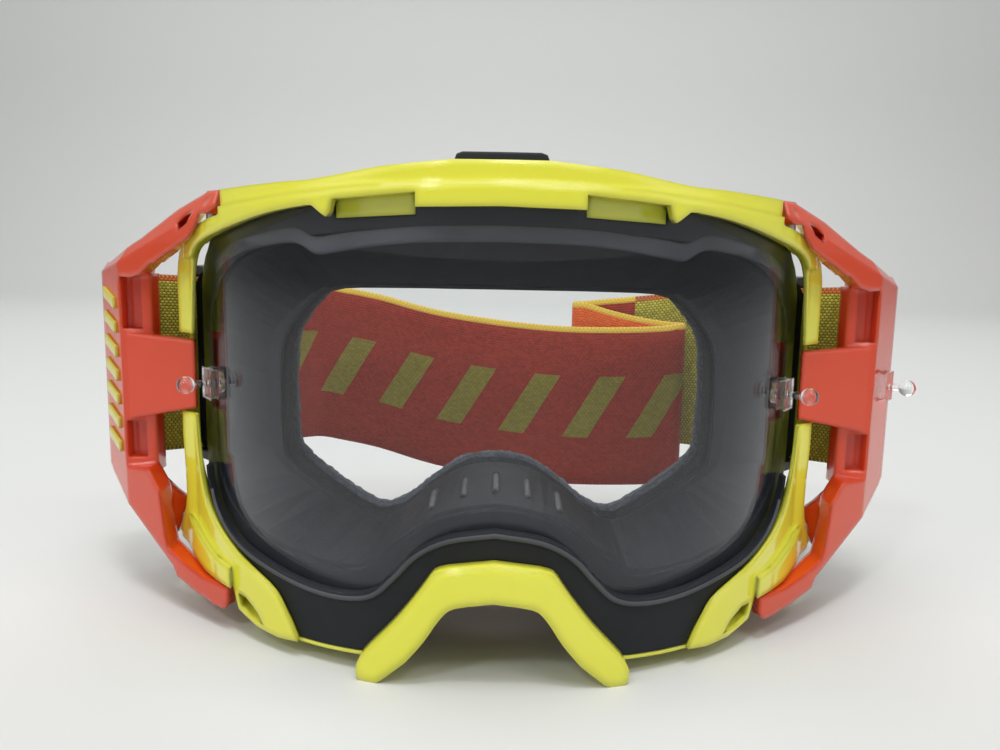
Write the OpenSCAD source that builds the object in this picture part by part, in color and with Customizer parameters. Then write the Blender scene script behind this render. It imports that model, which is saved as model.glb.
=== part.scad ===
// Motocross goggles: curved lens in a bright outer frame, soft face frame with layered foam,
// two swinging strap outriggers, a pull-off nose guard and an elastic strap with two sliders.
// Millimetres. X to the wearer's left, front faces -Y, Z up. The goggles stand on z = 0.

/* [Lens] */
// Outer radius of the lens sheet
lens_r = 88; // [86:0.5:92]
// Thickness of the lens sheet
lens_t = 1.2; // [0.8:0.1:1.6]
// Half width of the lens, seen from the front
lens_half_w = 76.2; // [75:0.1:76.6]
// Radius of a tear-off post's ball
ball_r = 2.2; // [1.8:0.1:2.6]
// Angle of the tear-off posts round the lens, from the middle
post_a = 54; // [50:1:55]
// Height of the tear-off posts
post_z = 59.3; // [56:0.5:63]

/* [Outer frame] */
// Depth of the frame's shell, measured away from the lens axis
frame_t = 3.7; // [3:0.1:4.2]
// Height of the brow's top edge
brow_z = 112.3; // [111:0.1:114]
// Extra depth of the brow's lower band
brow_step = 1.4; // [0.8:0.1:2]
// Half width of the side rails' outer edge
rail_x = 81.8; // [81.4:0.1:82.2]
// Depth of the roof behind the lens
roof_d = 12; // [8:0.5:15]
// Height of the rail that runs along the frame's bottom edge
low_rail_h = 4.6; // [3.5:0.1:5.5]
// Height of the blank pad on the brow
badge_h = 1.5; // [1:0.1:2.5]
// Half width of the blank pad on the brow
badge_x = 9.5; // [7:0.5:10]

/* [Face frame] */
// Wall of the soft face frame
wall = 2; // [1.6:0.1:2.2]
// Depth from the lens to the foam's rear face at the middle
face_depth = 44; // [40:0.5:50]
// Radius of the foam's rear face
face_r = 105; // [100:1:120]
// Thickness of the flange that the foam is glued to
flange_t = 2.5; // [2:0.1:3.5]
// Depth of the lip that holds the lens's lower edge
lip_t = 2.2; // [1.6:0.1:2.4]
// Width of a vent slot
vent_w = 11; // [6:0.5:12]
// Width of the bead along the lip's edge
bead_w = 1.6; // [1:0.1:2]
// Height of that bead
bead_t = 0.5; // [0.3:0.1:0.6]
// Distance between the ribs over the nose
rib_pitch = 7.2; // [6:0.1:7.5]

/* [Foam] */
// Thickness of the firm foam layer
foam_base_t = 10; // [7:0.5:12]
// Thickness of the middle foam layer
foam_mid_t = 3; // [2:0.5:5]
// Thickness of the fleece layer
fleece_t = 2; // [1:0.5:3]
// Thickness of the vent foam strips
vent_foam_t = 2.4; // [1.5:0.1:3]

/* [Nose guard] */
// Depth of the nose guard
guard_t = 3.7; // [3:0.1:4.5]
// Radius of the nose guard's pegs
peg_r = 1.3; // [1.1:0.1:1.4]
// Distance of a peg from the middle
peg_x = 7; // [6.5:0.1:7.5]
// Height of the pegs
peg_z = 23.2; // [23:0.1:23.5]
// Length of the pegs
peg_l = 9; // [8:0.5:10]

/* [Outriggers] */
// Half width of the outriggers at their rear outer edge
out_x = 108; // [107:0.5:110]
// Distance of the hinge axis from the middle
hinge_x = 67.8; // [67.6:0.1:68]
// Depth of the hinge axis behind the lens front
hinge_y = 26.8; // [26.6:0.1:27]
// Radius of the arm's knuckle on the hinge
knuckle_r = 3; // [2.8:0.1:3.2]
// Radius of the hinge pins
pin_r = 1.2; // [1:0.1:1.3]
// Wall of the outriggers
out_wall = 2.6; // [2:0.1:3]
// Depth of the pockets in the outrigger's column
pocket_d = 4; // [2:0.5:4.5]
// Radius of the bar that the strap goes round
bar_r = 2.1; // [1.8:0.1:2.2]

/* [Strap] */
// Width of the strap
strap_w = 50; // [44:0.5:50]
// Thickness of the strap
strap_t = 1.8; // [1.4:0.1:2]
// Height of the strap's middle at the outriggers
strap_z = 60.2; // [60:0.1:60.4]
// Length of the straight run from an outrigger to the back
run_l = 54; // [50:1:56]
// Angle of the straight run, from the X axis
run_a = 134; // [132:1:136]
// Length of the strap's free tail
tail_l = 40; // [36:1:44]
// Fall of the strap's middle along the straight run
run_drop = 3.7; // [2:0.1:5]
// Length of a slider along the strap
slider_l = 12; // [10:0.5:14]
// Wall of a slider
slider_wall = 1.6; // [1.4:0.1:2.4]
// Distance of a slider from the outrigger's bar
slider_s = 24; // [22:0.5:26]

/* [Clearances] */
// Gap between the lens and what holds it
lens_gap = 0.3; // [0.2:0.05:0.4]
// Gap between shells that lie side by side
shell_gap = 0.3; // [0.2:0.05:0.4]
// Gap between an outrigger and the frame
swing_gap = 0.4; // [0.3:0.05:0.6]
// Radial play of a pin or peg in its bore
fit_gap = 0.05; // [0.03:0.01:0.08]
// Gap between the strap and what it passes
strap_gap = 0.3; // [0.25:0.05:0.4]

/* [Hidden] */
$fn = 96;

yellow = [0.89, 0.88, 0.25];
orange = [0.84, 0.29, 0.16];
black = [0.13, 0.14, 0.16];
foam_grey = [0.25, 0.26, 0.28];
clear = [0.6, 0.65, 0.7, 0.5];
cloth = [0.75, 0.35, 0.18];
steel = [0.7, 0.7, 0.72];

// Radii round the upright lens axis
seat_r = lens_r - lens_t - 0.4;
shell_r = lens_r + lens_gap;
frame_r = shell_r + frame_t;
lip_r = shell_r + lip_t;
guard_in_r = lip_r + shell_gap;
guard_r = guard_in_r + guard_t;
ring_r = seat_r - 2.4;
rail_rib_r = frame_r - 1.7;
// Radii round the upright face axis, from the foam's rear face forward
face_axis_y = face_depth + face_r;
mid_r = face_r + fleece_t;
base_r = mid_r + foam_mid_t;
flange_r = base_r + foam_base_t;
flange_front_r = flange_r + flange_t;
// Clear depth that outline prisms are cut from
prism_y0 = -12;
prism_y1 = 86;
frame_y1 = 56;
// Strap layers, and the bar that they go round
layer_off = bar_r + strap_gap + strap_t / 2;
bar_c = [out_x - 7, 61];
run_dir = [cos(run_a), sin(run_a)];
run_n = [sin(run_a), -cos(run_a)];
run_slope = run_drop / run_l;
rear_gap = 0.3;
// Depth of the rear strap's layers
rear_y = 88;
layer_pitch = 6;
// The model's middle in depth lies at y = 0
front_y = lens_r - guard_r;
back_y = rear_y + 2 * layer_pitch + 1 + strap_t / 2;
mid_y = (front_y + back_y) / 2;

function unit(v) = v / norm(v);
function both_sides(h) =
  concat(h, [for (i = [len(h) - 1:-1:0]) if (h[i][0] > 0.01) [-h[i][0], h[i][1]]]);
function curve_at(a, b, c, d, t) =
  0.5 * (2 * b + (c - a) * t + (2 * a - 5 * b + 4 * c - d) * t * t + (3 * b - a - 3 * c + d) * t * t * t);
function smooth(p, n = 4) = concat([for (i = [0:len(p) - 2]) for (k = [0:n - 1])
  curve_at(p[max(i - 1, 0)], p[i], p[i + 1], p[min(i + 2, len(p) - 1)], k / n)], [p[len(p) - 1]]);
function grown(p, d) = [for (i = [0:len(p) - 1])
  let (t = unit(p[(i + 1) % len(p)] - p[(i + len(p) - 1) % len(p)])) p[i] + d * [-t[1], t[0]]];
function lens_y(x, r) = lens_r - sqrt(r * r - x * x);
function face_y(x, r) = face_axis_y - sqrt(r * r - x * x);

// Front outlines, each half listed from the top middle to the bottom middle
function low_edge(d) = [[44.5, 4.2 + d], [38, 4.2 + d], [30.5, 4.4 + d], [24.6, 5 + d],
  [20.2, 7.6 + d], [15.8, 12.8 + d], [12.2, 18 + d], [8.6, 20.4 + d], [0, 21.6 + d]];
function flipped(h) = [for (i = [len(h) - 1:-1:0]) if (h[i][0] > 0.01) [-h[i][0], h[i][1]]];
function reversed(h) = [for (i = [len(h) - 1:-1:0]) h[i]];
// Band between two such edges, which reaches into the wings
function low_band(d0, d1) = let (a = concat([[49.4, 3.7 + d0]], low_edge(d0)),
  b = concat([[49.4, 3.7 + d1]], low_edge(d1))) concat(a, flipped(a), reversed(concat(b, flipped(b))));
frame_outline = both_sides(concat(
  [[0, brow_z], [10, brow_z]],
  smooth([[11, brow_z - 0.1], [24, brow_z - 1.4], [34, brow_z - 3.1], [40.8, brow_z - 4.1],
    [48, brow_z - 4.5], [64.3, brow_z - 5.8]], 3),
  [[64.3, 100.8]],
  smooth([[66.4, 100.3], [68.5, 99.7], [72, 98.5], [75, 96.9], [78, 94.8], [80.8, 91.6], [rail_x, 86]], 2),
  [[rail_x, 44]],
  smooth([[81.3, 36], [81.2, 28], [82.4, 22.6], [84, 18.6]], 2),
  [[83.4, 16.2], [78.6, 13.9], [73.2, 12.2], [63.6, 11.6], [62, 6.5], [56, 4.2], [50, 3.6]],
  low_edge(0)));
frame_window = both_sides(concat(
  [[0, 103.2], [17.3, 102.8], [17.3, 105.8], [35, 104.2], [35.6, 101.6], [36.4, 100.6], [37.4, 101.2],
    [39.6, 102.9]],
  smooth([[41.2, 102.9], [48.8, 101.7], [56.4, 99.8], [64.8, 97.1], [70.4, 95], [73.7, 92.6],
    [75.2, 88], [76, 81]], 3),
  smooth([[76.9, 71], [76.9, 60], [76.2, 50], [75.2, 40], [73, 31], [69, 25.6], [62, 20.5],
    [56.6, 18], [50.7, 14.7], [47.2, 9.3], [44.8, 4]], 3),
  [for (p = low_edge(-2)) if (p[0] < 44) p]));
lens_outline = both_sides(concat(
  smooth([[0, 105.4], [17, 104.8], [34, 103.6], [50, 102.6], [61, 100.4], [68.5, 96.6], [74, 90.5],
    [lens_half_w, 83]], 3),
  smooth([[lens_half_w, 42], [75, 34], [70.5, 26.2], [63.5, 21.8], [55, 18.9], [43.6, 16.4], [34, 15.9],
    [26, 17.5], [20.5, 22.5], [15.5, 27.8], [9.5, 31.4], [0, 33.2]], 3)));
face_outline = both_sides(concat(
  smooth([[0, 109.4], [24, 107.8], [36, 105.8], [48, 104.6], [61, 103], [67.5, 100.4], [73, 95],
    [76.6, 87], [77.3, 78]], 3),
  smooth([[77.3, 45], [76.5, 36], [73.4, 28], [67, 21], [58, 15.6], [50.3, 10.6], [47, 5.4]], 3),
  low_edge(0.6)));
lip_top = smooth([[0, 35], [10, 33.3], [17, 29.5], [22, 24], [27, 19.3], [34, 17.7], [43.6, 18.2],
  [55, 20.7], [61.6, 22.9], [66.4, 26], [69.8, 29.6], [72, 34.4], [72.8, 38]], 3);
lip_outline = both_sides(concat(lip_top,
  smooth([[73.9, 38], [73.3, 33.6], [71.2, 28.6], [67.6, 24.6], [61.6, 20.4], [56.4, 17.6], [50.2, 14.2]], 2),
  [[46.8, 9], [44.6, 4.8]],
  [for (p = low_edge(0.6)) if (p[0] < 44) p]));
lens_hole = both_sides(smooth([[0, 98], [30, 97], [52, 93.5], [65, 87], [71.3, 74], [71.3, 46],
  [67.5, 33], [56, 25], [34, 22.3], [26, 26.3], [16.5, 34.5], [8, 38.2], [0, 39.5]], 3));
face_hole = both_sides(smooth([[0, 84.5], [28, 84.2], [41.5, 82.8], [49.5, 76], [54, 66.5], [54, 43],
  [51, 38], [44, 33.6], [31.6, 27.2], [24, 29], [16, 35.9], [8, 41], [0, 42.3]], 3));
foam_outline = both_sides(concat(
  smooth([[0, 106.4], [25, 105.6], [45, 103], [59, 98], [67.5, 91], [73.2, 80], [74.9, 66], [74.9, 45],
    [73.2, 31], [67.5, 18], [59, 8], [50, 1.4], [46, 0]], 3),
  smooth([[41, 0], [36, 1.4], [31, 5.4], [26.5, 10], [21, 16.4], [15.5, 22.6], [9, 25.4], [0, 26.2]], 3)));
guard_outline = both_sides(concat(
  smooth([[0, 28.7], [9.8, 27.4], [12.8, 26.3]], 2),
  smooth([[13.6, 25.4], [16.9, 20.5], [21.7, 14.1], [28.2, 6.6], [30.1, 3.4]], 3),
  [[30.1, 1.8], [29.9, 0.6], [29.3, 0], [25.6, 0], [24.4, 0.8]],
  smooth([[19, 5.6], [14.9, 10.8], [11.3, 16.4], [8.2, 18.9], [0, 20.2]], 3)));

// Moves a piece from the lens's own place to the part's origin
module placed() translate([0, -mid_y, 0]) children();
// Turns a front outline into a prism that runs through the whole depth
module prism(y1 = prism_y1) translate([0, y1, 0]) rotate([90, 0, 0]) linear_extrude(y1 - prism_y0) children();
// Upright cylinder round the lens axis, and a ring between two radii
module lens_cyl(r) translate([0, lens_r, -5]) cylinder(r = r, h = 130);
module lens_ring(r0, r1) difference() { lens_cyl(r1); lens_cyl(r0); }
module face_cyl(r) translate([0, face_axis_y, -5]) cylinder(r = r, h = 130);
module face_ring(r0, r1) difference() { face_cyl(r1); face_cyl(r0); }
module mirrored() { children(); mirror([1, 0, 0]) children(); }

// Closed skin through rings of points, with caps at both ends
module skin(rings) {
  n = len(rings);
  m = len(rings[0]);
  polyhedron([for (r = rings) for (p = r) p],
    concat([[for (j = [0:m - 1]) j]],
      [for (i = [0:n - 2]) for (j = [0:m - 1]) for (f = [
        [i * m + j, (i + 1) * m + j, (i + 1) * m + (j + 1) % m],
        [i * m + j, (i + 1) * m + (j + 1) % m, i * m + (j + 1) % m]]) f],
      [[for (j = [m - 1:-1:0]) (n - 1) * m + j]]));
}
// Closed skin whose last ring meets its first
module tube_skin(rings) {
  n = len(rings);
  m = len(rings[0]);
  polyhedron([for (r = rings) for (p = r) p],
    [for (i = [0:n - 1]) for (j = [0:m - 1]) for (f = [
      [i * m + j, ((i + 1) % n) * m + j, ((i + 1) % n) * m + (j + 1) % m],
      [i * m + j, ((i + 1) % n) * m + (j + 1) % m, i * m + (j + 1) % m]]) f]);
}

// Outer frame
low_x = 44.4;
low_rail_r = [ring_r + 0.2, lens_r - 0.1];
module low_zone() translate([-low_x, -20, -1]) cube([2 * low_x, 130, 33]);
module hinge_cuts() mirrored() translate([hinge_x, hinge_y, 0]) {
  translate([0, 0, 101 - swing_gap]) cylinder(r = knuckle_r + swing_gap, h = 12);
  translate([0, 0, -2]) cylinder(r = knuckle_r + swing_gap, h = 13.2 + swing_gap);
  translate([0, 0, 97.2]) cylinder(r = pin_r + fit_gap, h = 6);
  translate([0, 0, 8]) cylinder(r = pin_r + fit_gap, h = 8.8);
}
module scoops() mirrored() prism()
  polygon([[61.8, 10.6], [61, 7.4], [58, 6], [54.3, 5.2], [56, 7.8], [59.4, 10.4]]);
// Side rails, whose faces turn to the front and stand off the lens's curve
module rail_faces() intersection() {
  mirrored() linear_extrude(100)
    polygon([[74, lens_y(74, frame_r)], [77.4, lens_y(77.4, frame_r)], [84.3, 44.5],
    [84.3, 48.6], [80.6, 50], [77, 45]]);
  prism() difference() { polygon(frame_outline); polygon(frame_window); }
}
// Their inner sides turn away from the lens
module rail_relief() mirrored() translate([0, 0, 30])
  linear_extrude(64) polygon([[60, 31], [75, 37.2], [77.2, 39.6], [81.3, 51.5], [60, 60]]);
// Yellow ledges that show through the lens on both sides of the brow's middle
module ledges(gap = 0) intersection() {
  lens_ring(ring_r - 1 - gap, seat_r - 0.1 + gap);
  mirrored() prism() polygon(grown([[17.8, 101.4], [17.8, 109], [35.2, 108], [35.2, 100.4]], gap));
}
// Step in the side rails that an outrigger's block closes over
module block_steps() intersection() {
  lens_ring(rail_rib_r, 100);
  mirrored() translate([70, 20, 50.9]) cube([20, 50, 20.5]);
}
module peg_holes() mirrored() translate([peg_x, 14, peg_z]) rotate([90, 0, 0])
  cylinder(r = peg_r + fit_gap, h = 30);
module low_rail() intersection() {
  prism() polygon(low_band(0, low_rail_h));
  lens_ring(low_rail_r[0], low_rail_r[1]);
}
module outer_frame() color(yellow) placed() difference() {
  union() {
    difference() {
      union() {
        intersection() {
          lens_ring(ring_r - roof_d + 4, frame_r);
          prism(frame_y1) difference() { polygon(frame_outline); polygon(frame_window); }
        }
        // Lower band of the brow, which stands forward
        intersection() {
          lens_ring(frame_r - 1, frame_r + brow_step);
          prism() difference() {
            polygon(both_sides([[0, 107.9], [30, 106.9], [48, 105], [60, 103.4], [64.3, 102.6],
              [64.3, 100.8], [66.4, 100.3], [68.5, 99.7], [72, 98.5], [75, 96.9], [78, 94.6],
              [78.6, 90], [64, 93], [0, 99]]));
            polygon(frame_window);
          }
        }
        rail_faces();
        // Raised edge of the wings, round the lower hinge pins
        intersection() {
          lens_ring(frame_r - 1, frame_r + brow_step);
          mirrored() prism(frame_y1) polygon([[63.7, 11.7], [73.2, 12.2], [78.6, 13.9], [83.4, 16.2],
            [84, 18.6], [82.4, 22.6], [79.6, 23.6], [74.6, 20.2], [69.4, 17.6], [63.9, 16.6]]);
        }
      }
      // Groove for the lens, and room for the face frame behind it
      intersection() { lens_cyl(shell_r); prism() polygon(grown(lens_outline, lens_gap)); }
      intersection() { lens_cyl(seat_r + 0.2); prism() polygon(grown(face_outline, shell_gap)); }
      intersection() { lens_cyl(lip_r + shell_gap); prism() polygon(grown(lip_outline, shell_gap)); }
      // Nothing lies behind the rails, and only the low rail behind the wings
      difference() { lens_cyl(shell_r); translate([-120, -50, 95]) cube([240, 300, 30]);
        translate([-120, -50, -5]) cube([240, 300, 34]); }
      intersection() { lens_cyl(ring_r); translate([-120, -50, -5]) cube([240, 300, 40]); }
      low_zone();
      rail_relief();
      block_steps();
    }
    low_rail();
    // Sill under the lip
    intersection() {
      prism() polygon(low_band(-0.5, 0.3));
      lens_ring(low_rail_r[0], lip_r);
    }
    ledges();
  }
  hinge_cuts();
  scoops();
  peg_holes();
}
module brow_badge() color(black) placed() intersection() {
  lens_ring(ring_r - roof_d + 6, frame_r - 0.4);
  prism() polygon([[-badge_x, brow_z], [-badge_x + 0.4, brow_z + badge_h * 0.7],
    [-badge_x + 1.6, brow_z + badge_h], [badge_x - 1.6, brow_z + badge_h],
    [badge_x - 0.4, brow_z + badge_h * 0.7], [badge_x, brow_z]]);
}

// Soft face frame
module vent_slots(z0, z1, xs) for (x = xs) mirrored()
  translate([x - vent_w / 2, 0, z0]) cube([vent_w, 120, z1 - z0]);
module between(front_r, back_r) difference() { lens_cyl(front_r); face_cyl(back_r); }
module funnel() tube_skin([
  [for (p = grown(lens_hole, wall)) [p[0], lens_y(p[0], ring_r + 1), p[1]]],
  [for (p = grown(face_hole, wall)) [p[0], face_y(p[0], flange_r + 0.5), p[1]]],
  [for (p = face_hole) [p[0], face_y(p[0], flange_r + 0.5), p[1]]],
  [for (p = lens_hole) [p[0], lens_y(p[0], ring_r + 1), p[1]]]]);
// Side wall that closes the room between the front ring and a side rail
module side_flange() mirrored() intersection() {
  linear_extrude(120) polygon([[76.2, 49.6], [79.2, 49.9], [80, 50.5], [80, 52.6], [78.8, 53.4], [76.2, 54.2]]);
  prism() polygon([[75, 37], [78, 38], [80.2, 41], [80.2, 83], [78.4, 86], [75, 87.4]]);
}
module face_frame() color(black) placed() difference() {
  union() {
    side_flange();
    // Front ring behind the lens
    intersection() {
      lens_ring(ring_r, seat_r);
      prism() difference() { polygon(face_outline); polygon(grown(lens_hole, wall * 0.4)); }
    }
    // Outer wall from the ring back to the flange, open at the vents
    difference() {
      intersection() {
        between(ring_r + 0.5, flange_r + 0.5);
        prism() difference() { polygon(face_outline); polygon(grown(face_outline, -wall)); }
      }
      intersection() {
        between(ring_r - roof_d + 1, flange_front_r + 2);
        union() {
          vent_slots(95, 112, [12, 28, 44]);
          vent_slots(0, 12, [37.5]);
        }
      }
    }
    // Flange for the foam
    intersection() {
      face_ring(flange_r, flange_front_r);
      prism() difference() { polygon(face_outline); polygon(grown(face_hole, wall * 0.4)); }
    }
    funnel();
    // Lip that holds the lens's lower edge
    intersection() {
      lens_ring(shell_r, lip_r);
      prism() polygon(lip_outline);
    }
    intersection() {
      lens_ring(seat_r - 0.5, shell_r + 0.2);
      prism() difference() { polygon(lip_outline); polygon(grown(lens_outline, lens_gap)); }
    }
    // Bead along the lip's edge
    intersection() {
      lens_ring(lip_r - 0.5, lip_r + bead_t);
      mirrored() prism() intersection() {
        polygon(concat(lip_top, [for (i = [len(lip_top) - 1:-1:0]) lip_top[i] - [0, bead_w]]));
        polygon(lip_outline);
      }
    }
    // Short ribs on the bridge over the nose
    for (i = [-2:2]) translate([i * rib_pitch, 9, 40 - 0.4 * abs(i) - 0.9 * i * i]) rotate([-84, 0, 0])
      cylinder(r = 0.7, h = 12, $fn = 16);
  }
  // Room for the outer frame's low rail, the pegs and the posts' buttons
  intersection() {
    lens_ring(low_rail_r[0] - shell_gap / 2, low_rail_r[1] + shell_gap / 2);
    prism() polygon(low_band(-2, low_rail_h + shell_gap / 2));
  }
  ledges(shell_gap);
  peg_holes();
  for (s = [-1, 1]) post_place(s) cylinder(r = 3.2, h = 9, center = true);
}

// Lens and its posts
module lens() color(clear) placed() difference() {
  intersection() {
    lens_ring(lens_r - lens_t, lens_r);
    prism() polygon(lens_outline);
  }
  for (s = [-1, 1]) post_place(s) cylinder(r = 1.3 + 0.1, h = 20, center = true);
}
// Puts a post's foot on the lens, with its own +Z pointing out of the lens
module post_place(s) translate([s * lens_r * sin(post_a), lens_r - lens_r * cos(post_a), post_z])
  rotate([0, 0, s * post_a]) rotate([90, 0, 0]) children();
module post_shape(shank, ball_h = 7.3) {
  translate([0, 0, 0.15]) difference() {
    translate([-3.2, -4, 0]) cube([6.4, 8, 2]);
    for (y = [-1, 1]) translate([0, y * 4.6, 1]) rotate([0, 90, 0])
      cylinder(r = 1.2, h = 8, center = true, $fn = 32);
  }
  translate([0, 0, 0.5]) cylinder(r = 0.9, h = ball_h - 1.5);
  translate([0, 0, ball_h]) sphere(r = ball_r, $fn = 48);
  translate([0, 0, -shank]) cylinder(r = 1.3, h = shank + 1);
}
module lens_post(s) post_place(s) {
  post_shape(lens_t + 0.5);
  translate([0, 0, -lens_t - 1.2]) cylinder(r = 2.6, h = 1);
}
module lens_post_left() color(clear) placed() lens_post(-1);
module lens_post_right() color(clear) placed() lens_post(1);

// Foam, glued to the flange layer by layer
module foam_layer(r0, r1, d) intersection() {
  face_ring(r0, r1);
  prism() difference() { polygon(grown(foam_outline, d)); polygon(grown(face_hole, 0.5)); }
}
module foam_base() color(black) placed() foam_layer(base_r, flange_r, 0);
module foam_mid() color(foam_grey) placed() foam_layer(mid_r, base_r, 0);
module face_fleece() color([0.32, 0.33, 0.36]) placed() foam_layer(face_r, mid_r, 0);
module vent_foam_zone() intersection() {
  between(ring_r - roof_d, flange_front_r + 0.5);
  prism() difference() {
    polygon(grown(face_outline, -wall - 0.1));
    polygon(grown(face_outline, -wall - 0.1 - vent_foam_t));
  }
}
module top_vent_foam() color(foam_grey) placed() intersection() {
  vent_foam_zone();
  translate([-53, 0, 99]) cube([106, 60, 12]);
}
module bottom_vent_foams() color(foam_grey) placed() intersection() {
  between(ring_r - roof_d, flange_front_r + 0.5);
  prism() polygon(low_band(0.6 + wall + 0.1, 0.7 + wall + vent_foam_t));
  mirrored() translate([31, 0, 2]) cube([13, 60, 12]);
}

// Nose guard, pulled forward off its pegs
module nose_guard() color(yellow) placed() {
  intersection() {
    lens_ring(guard_in_r, guard_r);
    prism() polygon(guard_outline);
  }
  mirrored() translate([peg_x, lens_y(peg_x, guard_r - 1), peg_z]) rotate([-90, 0, 0])
    cylinder(r = peg_r, h = peg_l + guard_t);
}

// Outrigger on the wearer's left (+X); the other one is its mirror image
front_c = [out_x - 9.5, 46];
rear_c = [out_x, 58];
face_dir = unit(rear_c - front_c);
face_n = [face_dir[1], -face_dir[0]];
web_top = strap_z + strap_w / 2 + strap_gap;
web_bottom = strap_z - strap_w / 2 - strap_gap;
module arms_plan(x) polygon([[x, lens_y(x, frame_r + brow_step)], front_c, rear_c, rear_c - 2.7 * face_n,
  front_c + [-0.5, 6.2], [88, 46.5], [72, 32.5], [x, 29.8]]);
module column_plan() polygon([[front_c[0] - 8, 47], front_c, rear_c, rear_c - out_wall * face_n,
  front_c + [0.6, 6.2], [front_c[0] - 8, 52.8]]);
module web_plan() polygon([[front_c[0] - 8, 47], front_c, rear_c, rear_c + [-1.4, 2.6], bar_c + [2.4, 2.8],
  bar_c + [-2.6, 1.6], [front_c[0] - 7, 53]]);
top_end_x = 65.3;
low_end_x = 64.6;
module top_arm_face() polygon([[67.4, 101.4], [top_end_x, 102.4], [top_end_x, 106.5],
  [68.5, 106.4], [79, 102],
  [out_x - 17, 94.9], [out_x, 86.6], [front_c[0] + 2, 83.2], [front_c[0] - 8, 86], [85, 90.2], [81.6, 92.4],
  [78.4, 95.2], [75.2, 97.4], [72.4, 99], [70.8, 101]]);
module top_arm_skirt() polygon([[70, 101.2], [71.2, 98.6], [73.6, 95.6], [77.5, 93.4], [81.6, 91.3],
  [85.8, 88.9], [88, 89.5], [84, 91.6], [78.4, 96], [72.4, 100]]);
module low_arm_face() polygon([[66.6, 5.5], [65.2, 6.2], [low_end_x, 7.6], [low_end_x, 11.2],
  [72.9, 11.6], [79, 13.4], [84.2, 15.7], [85.2, 19], [86.6, 30.2], [front_c[0] - 8, 35.4],
  [front_c[0] + 1, 34.6], [out_x, 32.6], [out_x - 1.5, 30.6], [82.8, 11.7], [81.5, 9.2], [74.6, 6.9]]);
// Web of the lower arm, which runs on behind the wing's tip
module low_web_plan() polygon([[82.7, 49.6], [88, 44.6], [93, 46], [88.5, 49.4], [83.2, 52]]);
module low_web_face() polygon([[85, 18.4], [84.8, 20.8], [83.2, 24.2], [86.4, 27.6], [90.6, 33.2],
  [93, 34.4], [91, 22], [86, 16]]);
// Cuts a facet that leans back from the edge between two points on a face with normal n
module facet_cut(c0, c1, n, tilt) {
  u = unit(c1 - c0);
  n1 = unit(n - (n * u) * u);
  w = cos(tilt) * n1 + sin(tilt) * cross(n1, u);
  v = cross(w, u);
  multmatrix([[u[0], v[0], w[0], c0[0]], [u[1], v[1], w[1], c0[1]], [u[2], v[2], w[2], c0[2]], [0, 0, 0, 1]])
    translate([-8, -20, 0]) cube([norm(c1 - c0) + 12, 40, 20]);
}
arm_c0 = [top_end_x, lens_y(top_end_x, frame_r + brow_step), 103.2];
arm_c1 = [front_c[0], front_c[1], 88.6];
arm_n = unit([arm_c1[1] - arm_c0[1], arm_c0[0] - arm_c1[0], 0]);
module outrigger() difference() {
  union() {
    // Arms
    intersection() { linear_extrude(120) arms_plan(top_end_x); prism() top_arm_face(); }
    intersection() { linear_extrude(120) arms_plan(low_end_x); prism() low_arm_face(); }
    intersection() { linear_extrude(120) low_web_plan(); prism() low_web_face(); }
    // Skirt of the top arm, which lies over the frame's corner
    difference() {
      intersection() { linear_extrude(120) arms_plan(top_end_x); prism() top_arm_skirt(); }
      lens_cyl(frame_r + brow_step + swing_gap);
    }
    // Column with its top and bottom webs, and the bar for the strap
    translate([0, 0, 33]) linear_extrude(52.6) column_plan();
    translate([0, 0, web_top]) linear_extrude(out_wall) web_plan();
    translate([0, 0, web_bottom - out_wall]) linear_extrude(out_wall) web_plan();
    translate([bar_c[0], bar_c[1], web_bottom - 1]) cylinder(r = bar_r, h = web_top - web_bottom + 2);
    // Block that closes over the side rail
    difference() {
      intersection() {
        linear_extrude(120)
          polygon([[77, 38.5], [front_c[0] - 0.5, 46.4], [front_c[0] - 1, 49.4], [76, 42.2]]);
        prism() polygon([[77, 52.4], [77, 69.6], [front_c[0], 70.6], [front_c[0], 47.2]]);
      }
      lens_cyl(rail_rib_r + swing_gap);
    }
    // Knuckles
    translate([hinge_x, hinge_y, 101]) cylinder(r = knuckle_r, h = 5.4);
    translate([hinge_x, hinge_y, 5.5]) cylinder(r = knuckle_r, h = 5.7);
  }
  // Upper facets of the top arm
  facet_cut(arm_c0, arm_c1, arm_n, 35);
  facet_cut(arm_c1, [rear_c[0], rear_c[1], 85.4], [face_n[0], face_n[1], 0], 35);
  // Pockets in the column's front
  for (z = [[71.4, 85], [37, 47]])
    translate([front_c[0] - 5.5, front_c[1] - 3, z[0]]) cube([5, 3 + pocket_d, z[1] - z[0]]);
  // Pocket under the top arm's edge
  intersection() {
    prism() polygon([[72.8, 101.2], [75.2, 100.6], [77.4, 98.8], [77, 97], [74, 98.8]]);
    linear_extrude(120) polygon([[60, 10], [110, 40], [96.8, 48.5], [63.3, 25.4]]);
  }
  // Holes that the hinge pins are pressed into
  translate([hinge_x, hinge_y, 100]) cylinder(r = pin_r, h = 4);
  translate([hinge_x, hinge_y, 7.6]) cylinder(r = pin_r, h = 6);
}
module outrigger_right() color(orange) placed() outrigger();
module outrigger_left() color(orange) placed() mirror([1, 0, 0]) outrigger();
// Places a flat shape on the outrigger's outer face, +Z pointing out of it
module on_face() translate([front_c[0], front_c[1], 0]) multmatrix([
  [face_dir[0], 0, face_n[0], 0], [face_dir[1], 0, face_n[1], 0], [0, 1, 0, 0], [0, 0, 0, 1]]) children();
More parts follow.
